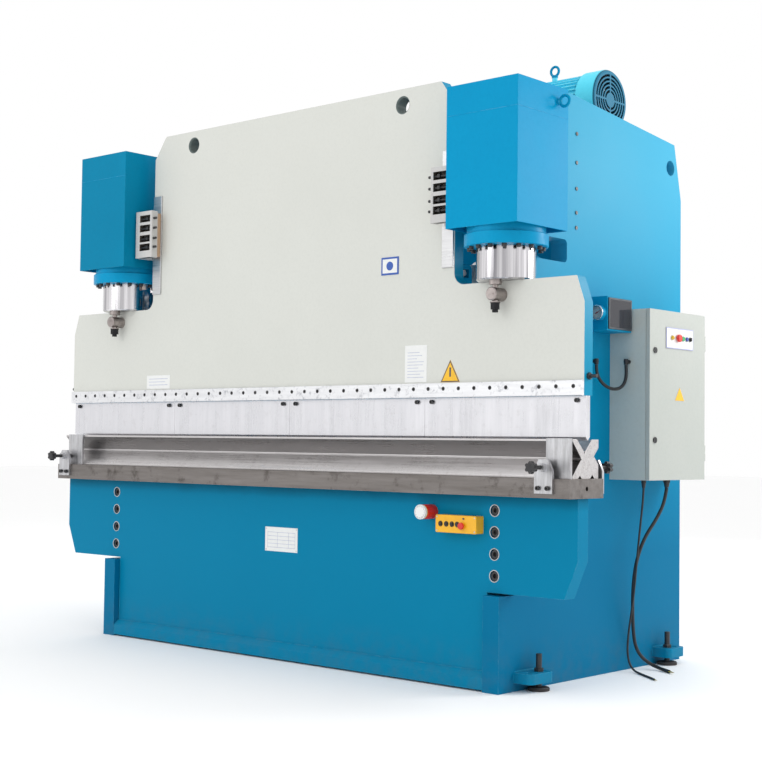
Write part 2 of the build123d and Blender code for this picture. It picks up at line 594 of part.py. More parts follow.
with BuildPart() as door_start:
    bar((1426, 1004, 1450), (1, 0, 0), 8, 24)
    bar((1447.5, 1004, 1450), (1, 0, 0), 10, 4)
save(door_start, "door_start")

with BuildPart() as mounting_plate:
    cuboid(CX0 + 3, CX0 + 8, 765, 1173, 870, 1530)
    for z in (960, 1150, 1330):
        cuboid(CX0 + 7, CX0 + 18, 790, 1150, z - 17, z + 17)
    for i in range(5):
        cuboid(CX0 + 17, CX0 + 92, 800 + 66 * i, 856 + 66 * i, 1112, 1190)
    for i in range(7):
        cuboid(CX0 + 17, CX0 + 82, 800 + 47 * i, 838 + 47 * i, 1290, 1372)
    cuboid(CX0 + 7, CX0 + 100, 800, 920, 895, 1040)
    for i in range(18):
        cuboid(CX0 + 17, CX0 + 60, 950 + 11 * i, 959 + 11 * i, 938, 984)
    cuboid(CX0 + 7, CX0 + 60, 790, 1150, 1215, 1255)
    cuboid(CX0 + 7, CX0 + 60, 790, 1150, 1410, 1450)
save(mounting_plate, "mounting_plate")

with BuildPart() as cable_glands:
    for x, y, r in ((1378.0, 985.0, 15.0), (1381.0, 790.0, 10.5)):
        hexa((x, y, 832), (0, 0, -1), 2 * r, 12)
        taper((x, y, 820), (0, 0, -1), r * 0.9, r * 0.62, 22)
    bar((FRAME_OUT, 580, 1337), (1, 0, 0), 8, 39)
    bar((1275, 580, 1322), (0, 0, 1), 9.5, 25)
    bar((1341, 735, 1339), (0, -1, 0), 8, 34)
    bar((1341, 708, 1325), (0, 0, 1), 9.5, 25)
save(cable_glands, "cable_glands")

# ---- gauges ------------------------------------------------------------------
with BuildPart() as gauge_box:
    cuboid(FRAME_OUT, 1360, 531, 720, 1462, 1606)
    cuboid(1300, 1361, 545, 706, 1476, 1592, mode=Mode.SUBTRACT)
    cuboid(1360.2, 1365, 540, 711, 1471, 1597)

with BuildPart() as pressure_gauge:
    bar((1325, 531, 1535), (0, -1, 0), 31, 30)
    bar((1325, 508, 1535), (0, -1, 0), 27.5, 12, mode=Mode.SUBTRACT)
    bar((1325, 509, 1535), (0, -1, 0), 2.4, 3)

NEEDLE_A = math.radians(60)
with BuildPart() as gauge_needle:
    with BuildSketch(xz(505.5)) as arrow:
        with BuildLine():
            ux, uz = math.sin(NEEDLE_A), math.cos(NEEDLE_A)
            Polyline((1325 - 8 * ux + 2 * uz, 1535 - 8 * uz - 2 * ux),
                     (1325 + 22 * ux, 1535 + 22 * uz),
                     (1325 - 8 * ux - 2 * uz, 1535 - 8 * uz + 2 * ux), close=True)
        make_face()
        with Locations((1325, 1535)):
            Circle(3.6)
    extrude(arrow.sketch, amount=1.5)
save(gauge_needle, "gauge_needle")

# ---- operator's box on the bed -----------------------------------------------
BOX_X0, BOX_X1, BOX_Z0, BOX_Z1, BOX_Y = 931.0, 1140.0, 620.0, 691.0, -66.0
BUTTON_X = (958.0, 988.0, 1017.0, 1044.0)
BUTTON_Z = 655.0
STOP_X, STOP_Z = 1071.0, 650.0
with BuildPart() as button_box:
    cuboid(BOX_X0, BOX_X1, BOX_Y, -18, BOX_Z0, BOX_Z1)
    fillet(button_box.edges().filter_by(Axis.Y), 6)
    fillet(button_box.faces().sort_by(Axis.Y)[0].edges(), 2)
    cuboid(BOX_X0 + 4, BOX_X1 - 4, BOX_Y + 4, -22, BOX_Z0 + 4, BOX_Z1 - 4, mode=Mode.SUBTRACT)
    for x in BUTTON_X:
        bar((x, BOX_Y - 1, BUTTON_Z), (0, 1, 0), 7.3, 8, mode=Mode.SUBTRACT)
    bar((STOP_X, BOX_Y - 1, STOP_Z), (0, 1, 0), 8.3, 8, mode=Mode.SUBTRACT)
    bar((1078, BOX_Y, 679), (0, -1, 0), 4, 3)

for i, x in enumerate(BUTTON_X):
    with BuildPart() as box_button:
        bar((x, BOX_Y - 5, BUTTON_Z), (0, 1, 0), 7, 20)
        chamfer(box_button.edges().group_by(Axis.Y)[0], 1)
    save(box_button, "box_button_" + str(i + 1))

with BuildPart() as box_estop:
    bar((STOP_X, BOX_Y - 8, STOP_Z), (0, 1, 0), 8, 24)
    bar((STOP_X, BOX_Y - 17, STOP_Z), (0, 1, 0), 14, 10)
    fillet(box_estop.edges().filter_by(GeomType.CIRCLE).group_by(Axis.Y)[0], 4)
save(box_estop, "box_estop")

with BuildPart() as dial_knob:
    bar((876, -100, 699), (0, 1, 0), 30, 12)
    fillet(dial_knob.edges().filter_by(GeomType.CIRCLE).group_by(Axis.Y)[0], 2)
    bar((876, -90, 699), (0, 1, 0), 9, 20)
save(dial_knob, "dial_knob")

with BuildPart() as dial_base:
    bar((876, -84, 699), (0, 1, 0), 29, 66)
    bar((876, -85, 699), (0, 1, 0), 9.3, 17, mode=Mode.SUBTRACT)

# ---- groups of small pieces that share one node ------------------------------
with BuildPart() as lifting_eyes:
    add(motor_eye.part)
    add(cover_eyes.part)
save(lifting_eyes, "lifting_eyes")

with BuildPart() as tank_fittings:
    add(tank_lid.part)
    add(level_glass.part)
save(tank_fittings, "tank_fittings")

with BuildPart() as pump_and_valves:
    add(pump_unit.part)
    add(valve_block.part)
save(pump_and_valves, "pump_and_valves")

with BuildPart() as bed_controls:
    add(button_box.part)
    add(dial_base.part)
save(bed_controls, "bed_controls")

with BuildPart() as die_fittings:
    add(die_end_plates.part)
    add(die_brackets.part)
save(die_fittings, "die_fittings")

with BuildPart() as ram_fasteners:
    add(clamp_screws.part)
    add(trip_pins.part)
save(ram_fasteners, "ram_fasteners")

with BuildPart() as gauge_box_and_gauge:
    add(gauge_box.part)
    add(pressure_gauge.part)
save(gauge_box_and_gauge, "gauge_box_and_gauge")

with BuildPart() as base_plates:
    add(bottom_rail.part)
    add(foot_lugs.part)
save(base_plates, "base_plates")

with BuildPart() as machine_screws:
    add(frame_bolts.part)
    add(flange_bolts.part)
save(machine_screws, "machine_screws")

with BuildPart() as cross_members:
    add(rear_beam.part)
    add(torsion_bearings.part)
save(cross_members, "cross_members")

with BuildPart() as ram_guides:
    add(gib_blocks.part)
    add(gib_liners.part)
save(ram_guides, "ram_guides")

# ---- free cables -------------------------------------------------------------


def shifted(points):
    return [(x, y + RY, z) for x, y, z in points]


def tube(name, points, diameter):
    pts = [Vector(*p) for p in shifted(points)]
    runs = [(b - a).length for a, b in zip(pts, pts[1:])]
    radii = []
    for i in range(1, len(pts) - 1):
        turn = (pts[i] - pts[i - 1]).get_angle(pts[i + 1] - pts[i])
        radii.append(0.45 * min(runs[i - 1], runs[i]) / math.tan(math.radians(turn / 2)))
    with BuildPart() as cord:
        with BuildLine() as route:
            FilletPolyline(*pts, radius=radii)
        start = pts[1] - pts[0]
        with BuildSketch(Plane(origin=pts[0], z_dir=start.normalized())) as section:
            Circle(diameter / 2)
        sweep(section.sketch, path=route.line)
    want = math.pi * diameter ** 2 / 4 * route.line.length if hasattr(route.line, "length") \
        else math.pi * diameter ** 2 / 4 * sum(e.length for e in route.edges())
    print(name, "runs", [round(r) for r in runs])
    print(name, "radii/diameter", [round(r / diameter, 1) for r in radii],
          "length", round(want / (math.pi * diameter ** 2 / 4)),
          "volume ratio", round(cord.part.volume / want, 4))
    save(cord, name)


CONDUIT = [(1275, 580, 1321), (1274, 582, 1290), (1281, 596, 1256), (1295, 624, 1229),
           (1313, 658, 1217), (1331, 688, 1226), (1341, 704, 1254), (1343, 709, 1290),
           (1341, 708, 1324)]
MAINS = [(1378, 985, 796.5), (1377, 974, 738), (1364, 925, 660), (1344, 862, 585),
         (1322, 832, 490), (1302, 836, 380), (1286, 858, 275), (1274, 882, 185),
         (1268, 906, 112), (1275, 932, 64), (1303, 953, 31), (1346, 960, 13.5),
         (1391, 945, 7.9), (1432, 921, 7.7)]
EARTH = [(1381, 790, 797.4), (1380, 787, 745), (1374, 780, 660), (1364, 778, 560),
         (1346, 790, 455), (1325, 808, 350), (1302, 822, 250), (1284, 829, 165),
         (1277, 832, 98), (1282, 832, 52), (1299, 828, 22), (1327, 817, 7),
         (1362, 797, 4.9), (1402, 766, 4.8), (1448, 735, 4.7), (1490, 703, 4.7)]
tube("conduit", CONDUIT, 14)
tube("mains_lead", MAINS, 15)
tube("earth_lead", EARTH, 9)
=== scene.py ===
import bpy, bmesh, math, random
from mathutils import Vector, Matrix


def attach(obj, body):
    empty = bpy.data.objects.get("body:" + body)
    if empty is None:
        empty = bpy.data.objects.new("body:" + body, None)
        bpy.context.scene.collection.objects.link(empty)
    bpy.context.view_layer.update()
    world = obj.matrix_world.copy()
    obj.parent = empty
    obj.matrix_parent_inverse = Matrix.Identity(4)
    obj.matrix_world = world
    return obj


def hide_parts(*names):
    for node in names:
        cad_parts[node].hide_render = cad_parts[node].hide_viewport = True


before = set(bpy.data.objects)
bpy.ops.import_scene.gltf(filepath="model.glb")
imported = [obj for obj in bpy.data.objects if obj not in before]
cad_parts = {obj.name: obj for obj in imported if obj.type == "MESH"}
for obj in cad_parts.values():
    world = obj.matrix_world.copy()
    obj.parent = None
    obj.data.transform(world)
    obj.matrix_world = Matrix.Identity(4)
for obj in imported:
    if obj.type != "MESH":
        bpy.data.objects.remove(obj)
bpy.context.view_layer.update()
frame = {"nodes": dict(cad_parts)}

RY = -572.85          # machine Y (from the ram's front face) to row Y, millimetres
random.seed(7)


def P(x, y, z):
    return Vector((x / 1000, (y + RY) / 1000, z / 1000))


# ------------------------------------------------------------------ materials
def tree(name):
    m = bpy.data.materials.new(name)
    m.use_nodes = True
    return m, m.node_tree, m.node_tree.nodes["Principled BSDF"]


def nd(nt, kind, **kw):
    n = nt.nodes.new(kind)
    for k, v in kw.items():
        setattr(n, k, v)
    return n


def objco(nt, scale=(1, 1, 1)):
    tc = nd(nt, "ShaderNodeTexCoord")
    mp = nd(nt, "ShaderNodeMapping")
    mp.inputs["Scale"].default_value = scale
    nt.links.new(tc.outputs["Object"], mp.inputs["Vector"])
    return mp.outputs["Vector"]


def noise(nt, vec, scale, detail=3.0, rough=0.5):
    n = nd(nt, "ShaderNodeTexNoise")
    n.inputs["Scale"].default_value = scale
    n.inputs["Detail"].default_value = detail
    n.inputs["Roughness"].default_value = rough
    nt.links.new(vec, n.inputs["Vector"])
    return n.outputs["Fac"]


def ramp(nt, fac, a, b, lo=0.0, hi=1.0):
    n = nd(nt, "ShaderNodeMapRange")
    n.inputs["From Min"].default_value = a
    n.inputs["From Max"].default_value = b
    n.inputs["To Min"].default_value = lo
    n.inputs["To Max"].default_value = hi
    nt.links.new(fac, n.inputs["Value"])
    return n.outputs["Result"]


def math2(nt, op, a, b):
    n = nd(nt, "ShaderNodeMath", operation=op)
    for i, v in enumerate((a, b)):
        if isinstance(v, (int, float)):
            n.inputs[i].default_value = v
        else:
            nt.links.new(v, n.inputs[i])
    return n.outputs[0]


def mixc(nt, fac, a, b):
    n = nd(nt, "ShaderNodeMix", data_type="RGBA")
    if isinstance(fac, (int, float)):
        n.inputs[0].default_value = fac
    else:
        nt.links.new(fac, n.inputs[0])
    for sock, v in ((n.inputs[6], a), (n.inputs[7], b)):
        if isinstance(v, (tuple, list)):
            sock.default_value = (*v[:3], 1)
        else:
            nt.links.new(v, sock)
    return n.outputs[2]


def bump(nt, b, height, strength, dist):
    n = nd(nt, "ShaderNodeBump")
    n.inputs["Strength"].default_value = strength
    n.inputs["Distance"].default_value = dist
    nt.links.new(height, n.inputs["Height"])
    nt.links.new(n.outputs["Normal"], b.inputs["Normal"])
    return n


def edge_mask(nt, radius=0.003, lo=0.03, hi=0.25):
    """1 along worn outer edges, broken up by noise."""
    bv = nd(nt, "ShaderNodeBevel")
    bv.samples = 4
    bv.inputs["Radius"].default_value = radius
    geo = nd(nt, "ShaderNodeNewGeometry")
    dot = nd(nt, "ShaderNodeVectorMath", operation="DOT_PRODUCT")
    nt.links.new(bv.outputs["Normal"], dot.inputs[0])
    nt.links.new(geo.outputs["Normal"], dot.inputs[1])
    e = math2(nt, "SUBTRACT", 1.0, dot.outputs["Value"])
    e = ramp(nt, e, lo, hi)
    n = noise(nt, objco(nt), 22, 5, 0.65)
    return math2(nt, "MULTIPLY", e, ramp(nt, n, 0.42, 0.62))


def sep(nt):
    s = nd(nt, "ShaderNodeSeparateXYZ")
    nt.links.new(objco(nt), s.inputs[0])
    return s.outputs


def paint(name, c1, c2, rough=0.36, coat=0.10, peel=0.10, wear=(0.45, 0.5, 0.5), wearamt=0.55,
          grime=0.25, zone=None, spec=0.08):
    m, nt, b = tree(name)
    co = objco(nt)
    big = noise(nt, co, 1.6, 4, 0.6)
    fine = noise(nt, co, 70, 3, 0.6)
    col = mixc(nt, ramp(nt, big, 0.35, 0.68), c1, c2)
    dark = tuple(v * 0.90 for v in c1)
    col = mixc(nt, math2(nt, "MULTIPLY", ramp(nt, fine, 0.45, 0.75), 0.35), col, dark)
    if zone:
        col = zone(nt, col)
    if grime:
        z = sep(nt)[2]
        low = ramp(nt, z, 0.0, 0.22, 1, 0)
        g = math2(nt, "MULTIPLY", low, ramp(nt, noise(nt, co, 14, 5, 0.7), 0.42, 0.7, 0, grime))
        col = mixc(nt, g, col, (0.10, 0.12, 0.12))
    if wearamt:
        col = mixc(nt, math2(nt, "MULTIPLY", edge_mask(nt), wearamt), col, wear)
    nt.links.new(col, b.inputs["Base Color"])
    rg = math2(nt, "ADD", ramp(nt, big, 0.3, 0.7, rough - 0.05, rough + 0.06),
               ramp(nt, fine, 0.3, 0.7, -0.03, 0.03))
    nt.links.new(rg, b.inputs["Roughness"])
    b.inputs["Coat Weight"].default_value = coat
    b.inputs["Coat Roughness"].default_value = 0.18
    b.inputs["Specular IOR Level"].default_value = spec
    bump(nt, b, noise(nt, co, 330, 2, 0.5), peel, 0.0006)
    return m


def metal(name, c1, c2, rough=0.3, streak=(3, 260, 260), amt=0.25, dist=0.0003, spots=0.0,
          spotcol=(0.12, 0.08, 0.06), metallic=1.0, wearcol=None, spotscale=30, under=None,
          zone=None):
    m, nt, b = tree(name)
    co = objco(nt)
    st = noise(nt, objco(nt, streak), 1.0, 4, 0.7)
    big = noise(nt, co, 5, 5, 0.6)
    col = mixc(nt, ramp(nt, st, 0.3, 0.7), c1, c2)
    if spots:
        f = ramp(nt, noise(nt, co, spotscale, 6, 0.75), 0.54, 0.72, 0, spots)
        col = mixc(nt, f, col, spotcol)
    # Painted shade: faces whose normal points downwards are darkened towards the base colour times under.
    if under:
        n = nd(nt, "ShaderNodeSeparateXYZ")
        nt.links.new(nd(nt, "ShaderNodeNewGeometry").outputs["Normal"], n.inputs[0])
        f = ramp(nt, n.outputs[2], -0.12, -0.35, 0, 0.85)
        col = mixc(nt, f, col, tuple(v * under for v in c1))
    if zone:
        col = zone(nt, col)
    if wearcol:
        col = mixc(nt, math2(nt, "MULTIPLY", edge_mask(nt), 0.7), col, wearcol)
    nt.links.new(col, b.inputs["Base Color"])
    b.inputs["Metallic"].default_value = metallic
    rg = math2(nt, "ADD", ramp(nt, st, 0.3, 0.7, rough - 0.08, rough + 0.08),
               ramp(nt, big, 0.3, 0.7, -0.05, 0.07))
    nt.links.new(rg, b.inputs["Roughness"])
    bump(nt, b, st, amt, dist)
    return m


def plastic(name, c, rough=0.4, tex=220, amt=0.15, coat=0.0, var=0.85):
    m, nt, b = tree(name)
    co = objco(nt)
    f = noise(nt, co, 40, 4, 0.6)
    nt.links.new(mixc(nt, ramp(nt, f, 0.35, 0.7), c, tuple(v * var for v in c)),
                 b.inputs["Base Color"])
    nt.links.new(ramp(nt, f, 0.3, 0.7, rough - 0.06, rough + 0.08), b.inputs["Roughness"])
    b.inputs["Coat Weight"].default_value = coat
    bump(nt, b, noise(nt, co, tex, 2, 0.5), amt, 0.0003)
    return m


BLUE1, BLUE2 = (0.001, 0.245, 0.445), (0.002, 0.27, 0.475)


def blue_low_shade(nt, col):
    """Painted shade: below 1.25 m the blue is darkened towards a deeper blue, most at 0.7 m and lower."""
    s = sep(nt)
    f = ramp(nt, s[2], 1.25, 0.70, 0, 0.8)
    return mixc(nt, f, col, (0.001, 0.185, 0.335))


def cover_zone(nt, col):
    """The port under the flange is bare steel."""
    f = ramp(nt, sep(nt)[2], 1.7640, 1.7645, 1, 0)
    return mixc(nt, f, col, (0.62, 0.50, 0.44))


M = {}
M["blue"] = paint("paint_blue", BLUE1, BLUE2, 0.36, 0.0, wear=(0.30, 0.62, 0.70), wearamt=0.45,
                  zone=blue_low_shade, spec=0.05)


def bed_beam_shadow_zone(nt, col):
    """Painted shadow of the bed beam: the front plate is darkened in a band right under the beam."""
    col = blue_low_shade(nt, col)
    n = noise(nt, objco(nt), 9, 3, 0.6)
    z = math2(nt, "ADD", sep(nt)[2], ramp(nt, n, 0.3, 0.7, -0.006, 0.006))
    # painted shadow: the band from z 0.725 to 0.768 m under the beam is darkened
    return mixc(nt, ramp(nt, z, 0.725, 0.768, 0, 0.55), col, (0.001, 0.085, 0.15))


M["bed_blue_beam_shadow"] = paint("paint_bed_blue_beam_shadow", BLUE1, BLUE2, 0.36, 0.0, wear=(0.30, 0.62, 0.70),
                      wearamt=0.45, zone=bed_beam_shadow_zone, spec=0.05)
M["blue_cover"] = paint("paint_blue_cover", (0.001, 0.275, 0.52), (0.002, 0.30, 0.545), 0.32,
                        0.0, wear=(0.30, 0.62, 0.75), wearamt=0.4, grime=0, spec=0.04)
# Painted shade: the left cover gets a darker copy of the right cover's blue.
M["shaded_blue_cover_l"] = paint("paint_cover_left_shaded", (0.001, 0.20, 0.355), (0.001, 0.22, 0.385),
                          0.34, 0.0, wear=(0.25, 0.52, 0.62), wearamt=0.4, grime=0, spec=0.05)
M["blue_cyl"] = paint("paint_blue_cylinder", (0.001, 0.275, 0.52), (0.002, 0.30, 0.545), 0.32,
                      0.0, wear=(0.30, 0.62, 0.75), wearamt=0.4, grime=0, zone=cover_zone)
def side_sheen_shade_zone(nt, col):
    """Painted sheen and shade: the frame sides are lightened higher up as a painted highlight, and darkened
    near the floor as painted shade.
    """
    z = sep(nt)[2]
    # painted highlight: lighter blue from 1.3 m upwards
    col = mixc(nt, ramp(nt, z, 1.3, 2.2, 0, 1), col, (0.045, 0.345, 0.53))
    # painted shade: deeper blue below 1.25 m
    return mixc(nt, ramp(nt, z, 1.25, 0.5, 0, 1), col, (0.0, 0.155, 0.305))


M["side_blue_sheen_shade"] = paint("paint_side_sheen_shade", BLUE1, BLUE2, 0.42, 0.0, wear=(0.30, 0.62, 0.70),
                       wearamt=0.45, zone=side_sheen_shade_zone, spec=0.06)


def ram_zone(nt, col):
    """Cream front face, blue edges and back; the bores of the two lifting holes are painted dark as shade."""
    s = sep(nt)
    n = noise(nt, objco(nt), 30, 3, 0.6)
    edge = math2(nt, "ADD", s[1], ramp(nt, n, 0.3, 0.7, -0.0009, 0.0009))
    f = ramp(nt, edge, RY / 1000 + 0.0018, RY / 1000 + 0.0026)
    col = mixc(nt, f, col, (0.001, 0.26, 0.44))
    # painted shade: dark within 39 mm of each lifting hole's axis
    dx = math2(nt, "SUBTRACT", math2(nt, "ABSOLUTE", s[0], 0), 0.673)
    dz = math2(nt, "SUBTRACT", s[2], 2.416)
    r = math2(nt, "SQRT", math2(nt, "ADD", math2(nt, "MULTIPLY", dx, dx),
                                math2(nt, "MULTIPLY", dz, dz)), 0)
    return mixc(nt, ramp(nt, r, 0.0385, 0.0395, 1, 0), col, (0.13, 0.16, 0.155))


M["cream"] = paint("paint_cream", (0.645, 0.655, 0.615), (0.625, 0.635, 0.595), 0.40, 0.05,
                   wear=(0.40, 0.40, 0.38), wearamt=0.5, grime=0, zone=ram_zone)
M["cabinet"] = paint("paint_cabinet", (0.535, 0.565, 0.53), (0.57, 0.595, 0.56), 0.42, 0.05, 0.22,
                     wear=(0.35, 0.36, 0.36), wearamt=0.4, grime=0)
M["door"] = paint("paint_door", (0.455, 0.48, 0.45), (0.485, 0.505, 0.475), 0.42, 0.05, 0.22,
                  wear=(0.35, 0.36, 0.36), wearamt=0.4, grime=0)
M["motor"] = paint("paint_motor", (0.09, 0.66, 0.84), (0.12, 0.70, 0.87), 0.32, 0.2,
                   wear=(0.4, 0.7, 0.75), wearamt=0.3, grime=0, spec=0.3)


def cowl_zone(nt, col):
    """The pressed grille at the fan end is grey-blue; the cowl's interior behind the slots is painted dark as
    shade.
    """
    s = sep(nt)
    f = ramp(nt, s[0], 1.0900, 1.0945, 0, 1)
    col = mixc(nt, f, col, (0.020, 0.165, 0.27))
    # painted shade: everything within 136 mm of the axis, behind the grille face, is darkened
    dy = math2(nt, "SUBTRACT", s[1], (950 + RY) / 1000)
    dz = math2(nt, "SUBTRACT", s[2], 2.551)
    r = math2(nt, "SQRT", math2(nt, "ADD", math2(nt, "MULTIPLY", dy, dy),
                                math2(nt, "MULTIPLY", dz, dz)), 0)
    inside = math2(nt, "MULTIPLY", ramp(nt, r, 0.1355, 0.136, 1, 0),
                   ramp(nt, s[0], 1.0965, 1.0970, 1, 0))
    return mixc(nt, inside, col, (0.008, 0.045, 0.07))


M["cowl"] = paint("paint_cowl", (0.09, 0.66, 0.84), (0.12, 0.70, 0.87), 0.40, 0.0,
                  wear=(0.4, 0.7, 0.75), wearamt=0.0, grime=0, spec=0.12, zone=cowl_zone)


def gib_zone(nt, col):
    """Bronze liner behind the block; dark pockets in its face, painted as the shade in the recesses together
    with their dark screws.
    """
    s = sep(nt)
    ax = math2(nt, "ABSOLUTE", s[0], 0)
    y = s[1]
    y0 = RY / 1000
    liner = math2(nt, "MULTIPLY", ramp(nt, y, y0 - 0.0381, y0 - 0.0379, 0, 1),
                  ramp(nt, ax, 0.960, 0.961, 1, 0))
    col = mixc(nt, liner, col, (0.50, 0.33, 0.21))
    # painted shade: the screw pockets are darkened as recess shade, with their dark screws
    pocket = math2(nt, "MULTIPLY", ramp(nt, y, y0 - 0.0742, y0 - 0.0735, 0, 1),
                   ramp(nt, y, y0 - 0.0445, y0 - 0.044, 1, 0))
    pocket = math2(nt, "MULTIPLY", pocket, math2(nt, "MULTIPLY",
                   ramp(nt, ax, 0.9065, 0.907, 0, 1), ramp(nt, ax, 0.985, 0.9855, 1, 0)))
    return mixc(nt, pocket, col, (0.075, 0.065, 0.055))


M["gib"] = paint("gib_steel", (0.50, 0.49, 0.48), (0.60, 0.59, 0.575), 0.36, 0.0, 0.3,
                 wear=(0.7, 0.69, 0.67), wearamt=0.5, grime=0, spec=0.4, zone=gib_zone)
M["steel"] = metal("steel_ground", (0.50, 0.50, 0.51), (0.66, 0.665, 0.67), 0.34,
                   streak=(4, 190, 190), spots=0.12, spotcol=(0.30, 0.27, 0.25))
M["punch"] = metal("steel_punch", (0.68, 0.68, 0.71), (0.76, 0.755, 0.785), 0.30,
                   streak=(34, 8, 2), amt=0.1, spots=0.22, spotcol=(0.42, 0.40, 0.40))
M["strip"] = metal("steel_strip", (0.74, 0.745, 0.765), (0.84, 0.845, 0.86), 0.38,
                   streak=(6, 90, 90), spots=0.7, spotcol=(0.18, 0.19, 0.23))
# The die's downward-facing faces get painted shade (under=0.40).
M["die"] = metal("steel_die", (0.54, 0.52, 0.52), (0.70, 0.68, 0.68), 0.30,
                 streak=(1.6, 120, 120), spots=0.25, spotcol=(0.22, 0.18, 0.16), under=0.40)
M["beam"] = metal("steel_beam", (0.17, 0.155, 0.145), (0.26, 0.24, 0.23), 0.46,
                  streak=(3, 40, 40), amt=0.3, spots=0.85, spotcol=(0.055, 0.045, 0.04),
                  wearcol=(0.5, 0.47, 0.44), spotscale=9)
M["plate"] = metal("steel_plate", (0.42, 0.42, 0.43), (0.64, 0.64, 0.66), 0.36,
                   streak=(60, 60, 7), spots=0.3, spotcol=(0.3, 0.26, 0.23))
# Painted reflection: the strong dark and bright vertical bands on the piston rods stand in for reflected
# surroundings.
M["chrome"] = metal("chrome_rod", (0.20, 0.195, 0.215), (0.98, 0.96, 0.98), 0.16,
                    streak=(30, 30, 0.35), amt=0.02, dist=0.0001)
M["bright"] = metal("chrome_trim", (0.66, 0.66, 0.68), (0.80, 0.80, 0.82), 0.16,
                    streak=(60, 60, 60), amt=0.05, dist=0.0001)
M["black"] = metal("black_oxide", (0.035, 0.035, 0.038), (0.06, 0.06, 0.062), 0.42,
                   streak=(60, 60, 60), spots=0.0, metallic=0.6, wearcol=(0.35, 0.34, 0.33))
M["zinc"] = metal("zinc", (0.50, 0.50, 0.50), (0.64, 0.63, 0.62), 0.34, streak=(120, 120, 120),
                  spots=0.3, spotcol=(0.2, 0.15, 0.11))
def nut_zone(nt, col):
    """The tie bolt and its nut are blackened."""
    return mixc(nt, ramp(nt, sep(nt)[2], 1.5385, 1.539, 1, 0), col, (0.03, 0.03, 0.032))


M["coupling"] = metal("steel_coupling", (0.27, 0.235, 0.225), (0.48, 0.43, 0.415), 0.36,
                      streak=(60, 60, 60), spots=0.4, zone=nut_zone)
M["bronze"] = metal("bronze", (0.50, 0.33, 0.17), (0.60, 0.41, 0.22), 0.36,
                    streak=(120, 120, 8), spots=0.25, spotcol=(0.16, 0.10, 0.06))
M["brass"] = metal("brass", (0.72, 0.50, 0.20), (0.80, 0.58, 0.27), 0.30, streak=(90, 90, 90))
M["blackplastic"] = plastic("plastic_black", (0.018, 0.018, 0.020), 0.42, 300, 0.2)
M["grille"] = plastic("plastic_grille", (0.045, 0.055, 0.065), 0.5, 240, 0.2)
M["yellow"] = plastic("plastic_yellow", (0.88, 0.45, 0.012), 0.38, 260, 0.12, 0.1, 0.93)
M["red"] = plastic("plastic_red", (0.70, 0.025, 0.015), 0.30, 200, 0.08, 0.3)
M["green"] = plastic("plastic_green", (0.02, 0.42, 0.12), 0.30, 200, 0.08, 0.3)
M["bluebtn"] = plastic("plastic_blue", (0.02, 0.06, 0.35), 0.30, 200, 0.08, 0.3)
M["white"] = plastic("plastic_white", (0.80, 0.81, 0.80), 0.38, 180, 0.08, 0.1, 0.95)
M["rubber"] = plastic("cable_rubber", (0.016, 0.017, 0.019), 0.55, 420, 0.25)
M["gasket"] = plastic("rubber_gasket", (0.03, 0.03, 0.03), 0.7, 300, 0.2)
M["pad"] = plastic("levelling_pad", (0.035, 0.03, 0.03), 0.75, 120, 0.5)
M["ochre"] = plastic("core_insulation", (0.35, 0.30, 0.05), 0.45)
M["label"] = plastic("label_white", (0.78, 0.79, 0.78), 0.45, 90, 0.05, 0.0, 0.96)
M["ink"] = plastic("label_ink", (0.06, 0.07, 0.10), 0.6)
M["faint"] = plastic("label_faint", (0.50, 0.53, 0.66), 0.6)
M["lilac"] = plastic("label_lilac", (0.45, 0.47, 0.68), 0.5)
M["inkblue"] = plastic("label_blue", (0.03, 0.10, 0.42), 0.45)
M["warn"] = plastic("label_yellow", (0.92, 0.52, 0.02), 0.40, 90, 0.05)


def glass(name, tint, rough=0.04, trans=0.9):
    m, nt, b = tree(name)
    co = objco(nt)
    f = noise(nt, co, 30, 3, 0.5)
    nt.links.new(mixc(nt, ramp(nt, f, 0.3, 0.7), tint, tuple(v * 0.93 for v in tint)),
                 b.inputs["Base Color"])
    nt.links.new(ramp(nt, f, 0.3, 0.7, rough, rough + 0.05), b.inputs["Roughness"])
    b.inputs["Transmission Weight"].default_value = trans
    return m


M["glass"] = glass("gauge_glass", (0.9, 0.93, 0.95), 0.03, 0.96)
M["darkglass"] = glass("window_glass", (0.035, 0.036, 0.045), 0.05, 0.1)
M["lamp"] = glass("lamp_lens", (0.95, 0.62, 0.05), 0.12, 0.35)


def by_place(name, base, rules):
    """Copy of a material under a new name, for groups of different pieces."""
    m = M[base].copy()
    m.name = name
    return m


